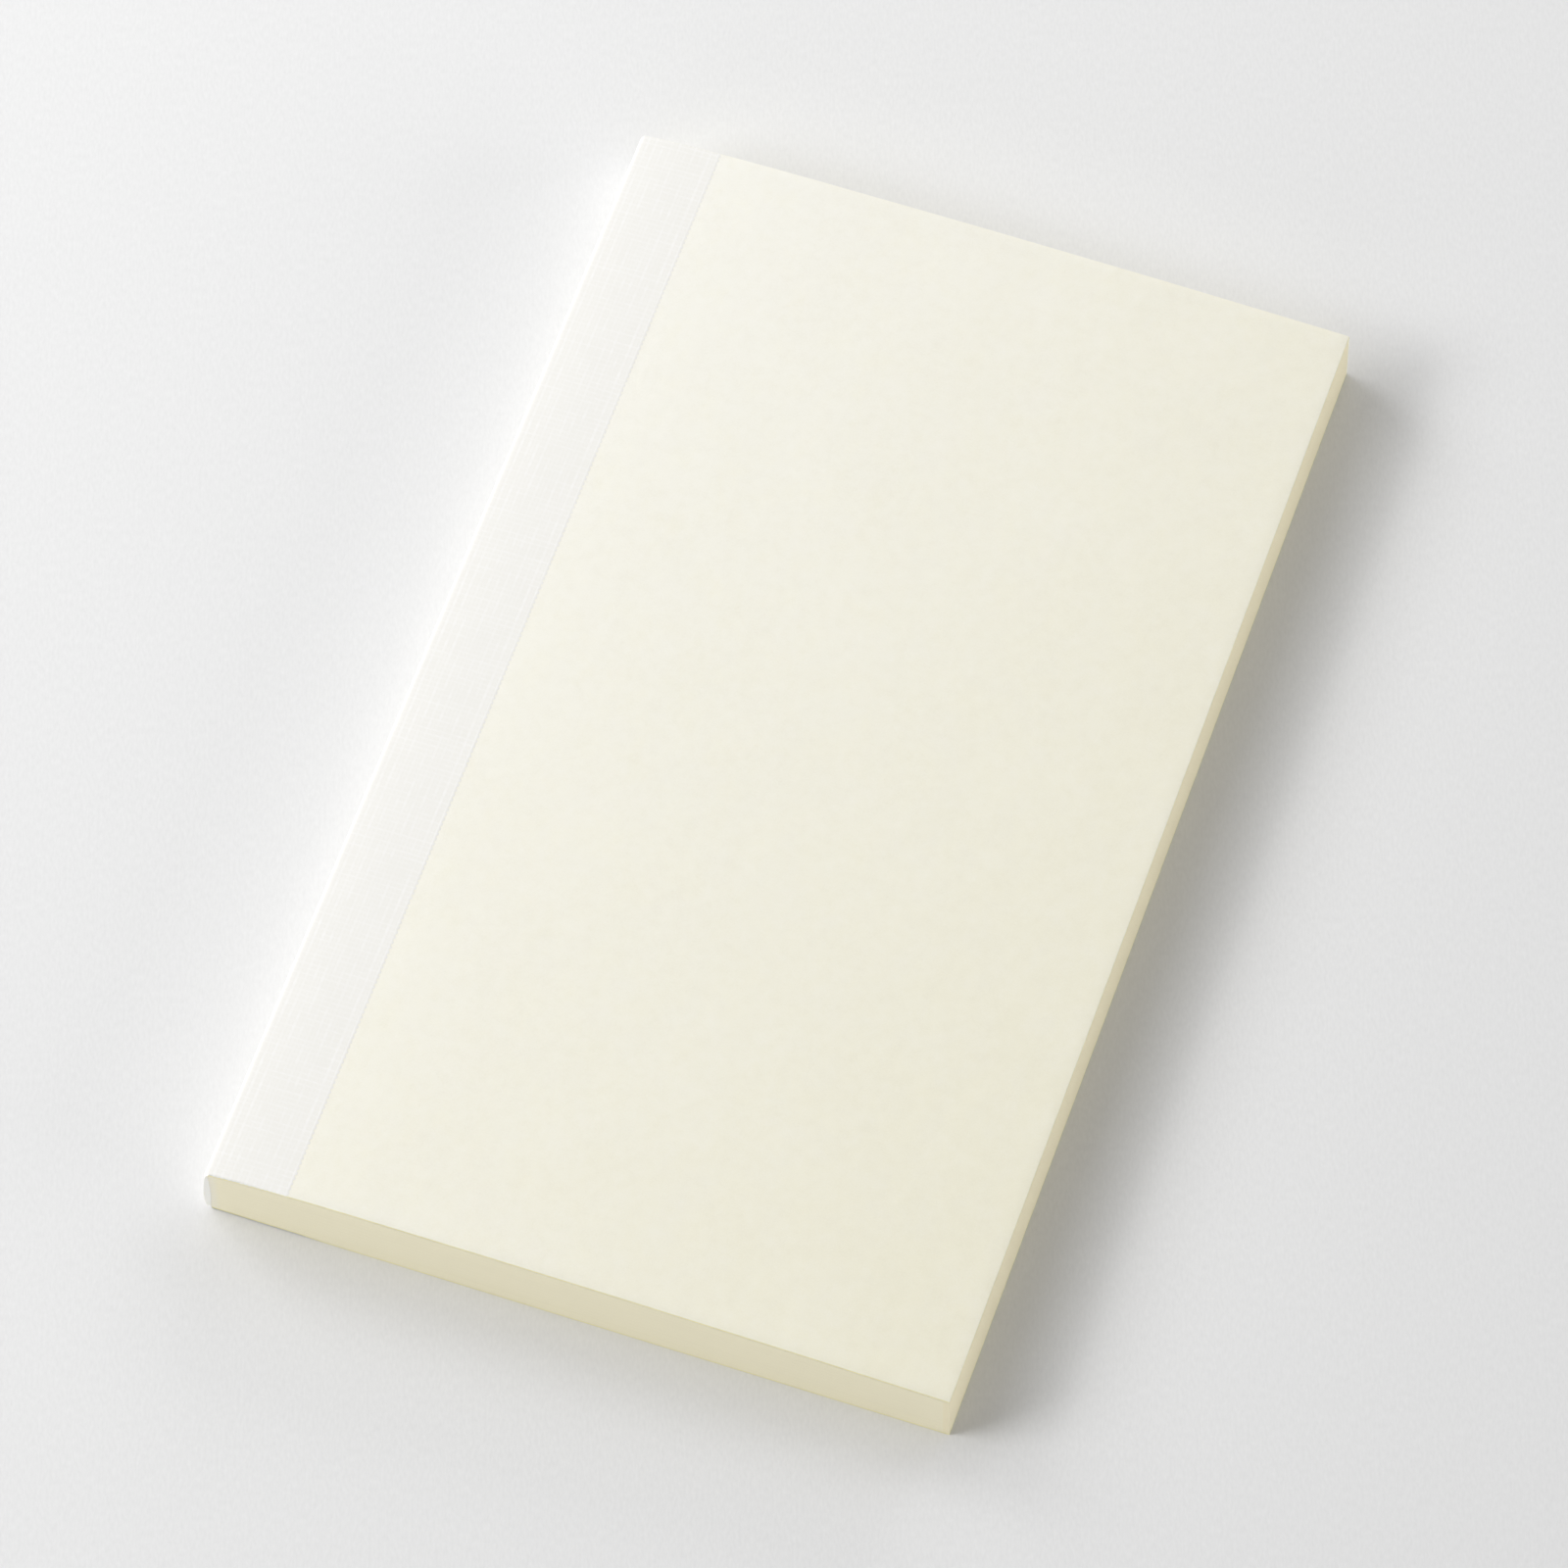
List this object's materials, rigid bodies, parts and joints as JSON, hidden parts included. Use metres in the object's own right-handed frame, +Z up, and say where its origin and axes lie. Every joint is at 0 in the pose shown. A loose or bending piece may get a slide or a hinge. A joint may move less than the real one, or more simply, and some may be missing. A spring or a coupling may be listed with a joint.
{
  "type": "grid notebook",
  "caption": "Sewn softcover grid notebook with rounded glued back, white gauze spine lapped onto plain cream covers that both open.",
  "frame": {"origin": "centre of the book's footprint on the table it lies on", "axes": "+X from the spine to the fore edge, +Y from the tail to the head, +Z up through the front cover"},
  "size_m": [0.1058, 0.175, 0.0109],
  "materials": {
    "page_paper": "matte uncoated cream paper, trimmed edges",
    "cover_paper": "matte uncoated ivory paper with a faint tooth",
    "gauze": "white open-weave binding gauze, starched",
    "glue": "dried white binding adhesive",
    "thread": "white sewing thread"
  },
  "bodies": {
    "book_block": {"page_block": "page_paper", "spine_gauze": "gauze", "spine_glue": "glue", "binding_thread": "thread"},
    "front": {"front_cover": "cover_paper"},
    "back": {"back_cover": "cover_paper"}
  },
  "joints": [
    {"name": "front_cover_hinge", "type": "hinge", "parent": "book_block", "child": "front", "pos_m": [-0.05153, 0, 0.00981], "axis": [0, -1, 0], "range_deg": [0, 176], "deforming": ["spine_gauze"]},
    {"name": "back_cover_hinge", "type": "hinge", "parent": "book_block", "child": "back", "pos_m": [-0.05153, 0, 0.00022], "axis": [0, 1, 0], "range_deg": [0, 176], "deforming": ["spine_gauze"]}
  ]
}
